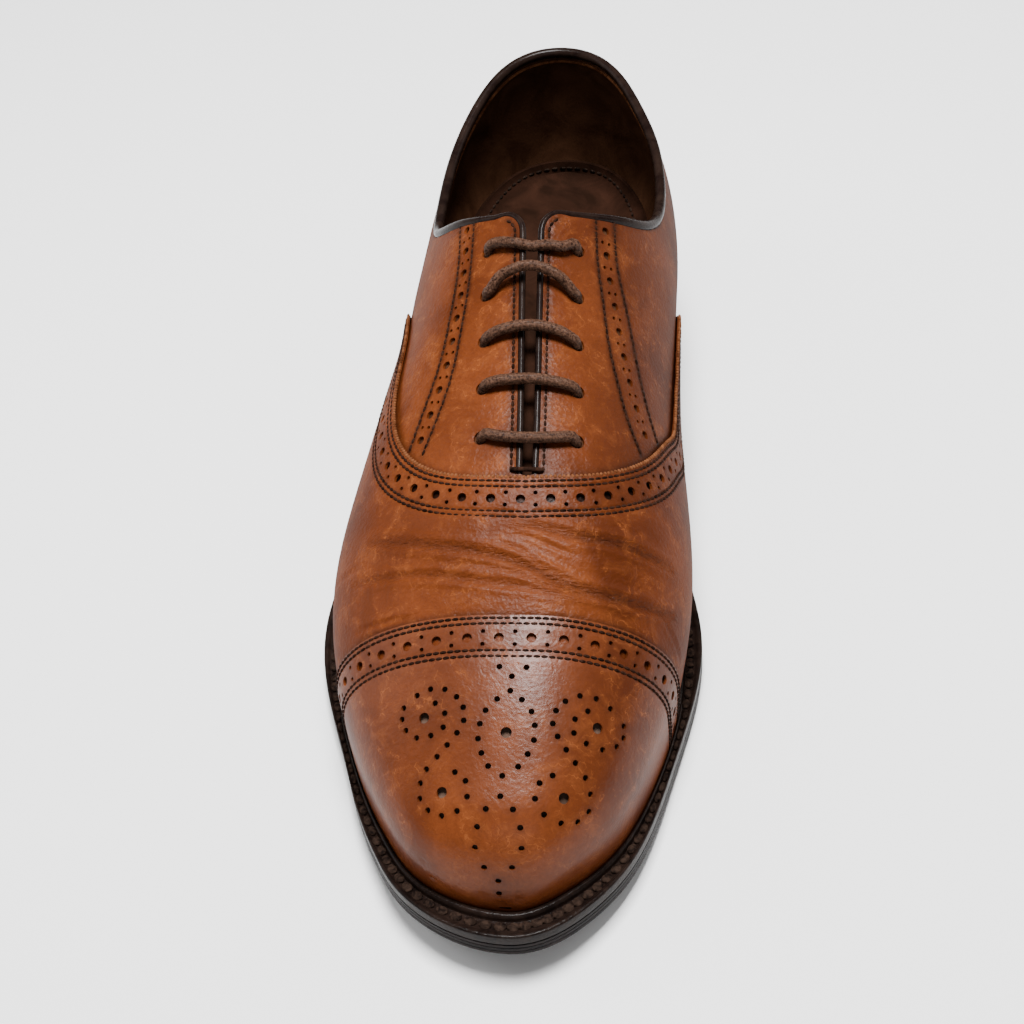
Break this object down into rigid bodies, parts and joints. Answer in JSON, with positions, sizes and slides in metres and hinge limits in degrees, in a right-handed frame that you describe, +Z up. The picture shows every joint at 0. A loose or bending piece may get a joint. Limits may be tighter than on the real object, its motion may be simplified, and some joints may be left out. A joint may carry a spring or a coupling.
{
  "type": "dress shoe",
  "caption": "Cap-toe semi-brogue lace-up dress shoe in tan leather, with punched patterns, storm welt, leather sole and stacked heel.",
  "frame": {"origin": "on the floor, under the middle of the shoe's outline box", "axes": "toe towards -Y, heel towards +Y, inner side of the foot towards +X, +Z up"},
  "size_m": [0.112, 0.3048, 0.1035],
  "materials": {
    "upper": "satin burnished",
    "vamp_panel": "satin burnished",
    "toe_cap": "polished burnished",
    "collar_piping": "satin",
    "tongue": "matte",
    "laces": "waxed",
    "insole": "matte",
    "welt": "satin",
    "outsole": "satin edge",
    "heel_stack": "satin edge",
    "top_lift": "matte"
  },
  "bodies": {
    "root": {"upper": "upper", "vamp_panel": "vamp_panel", "toe_cap": "toe_cap", "collar_piping": "collar_piping", "tongue": "tongue", "laces": "laces", "insole": "insole", "welt": "welt", "outsole": "outsole", "heel_stack": "heel_stack", "top_lift": "top_lift"}
  },
  "joints": []
}
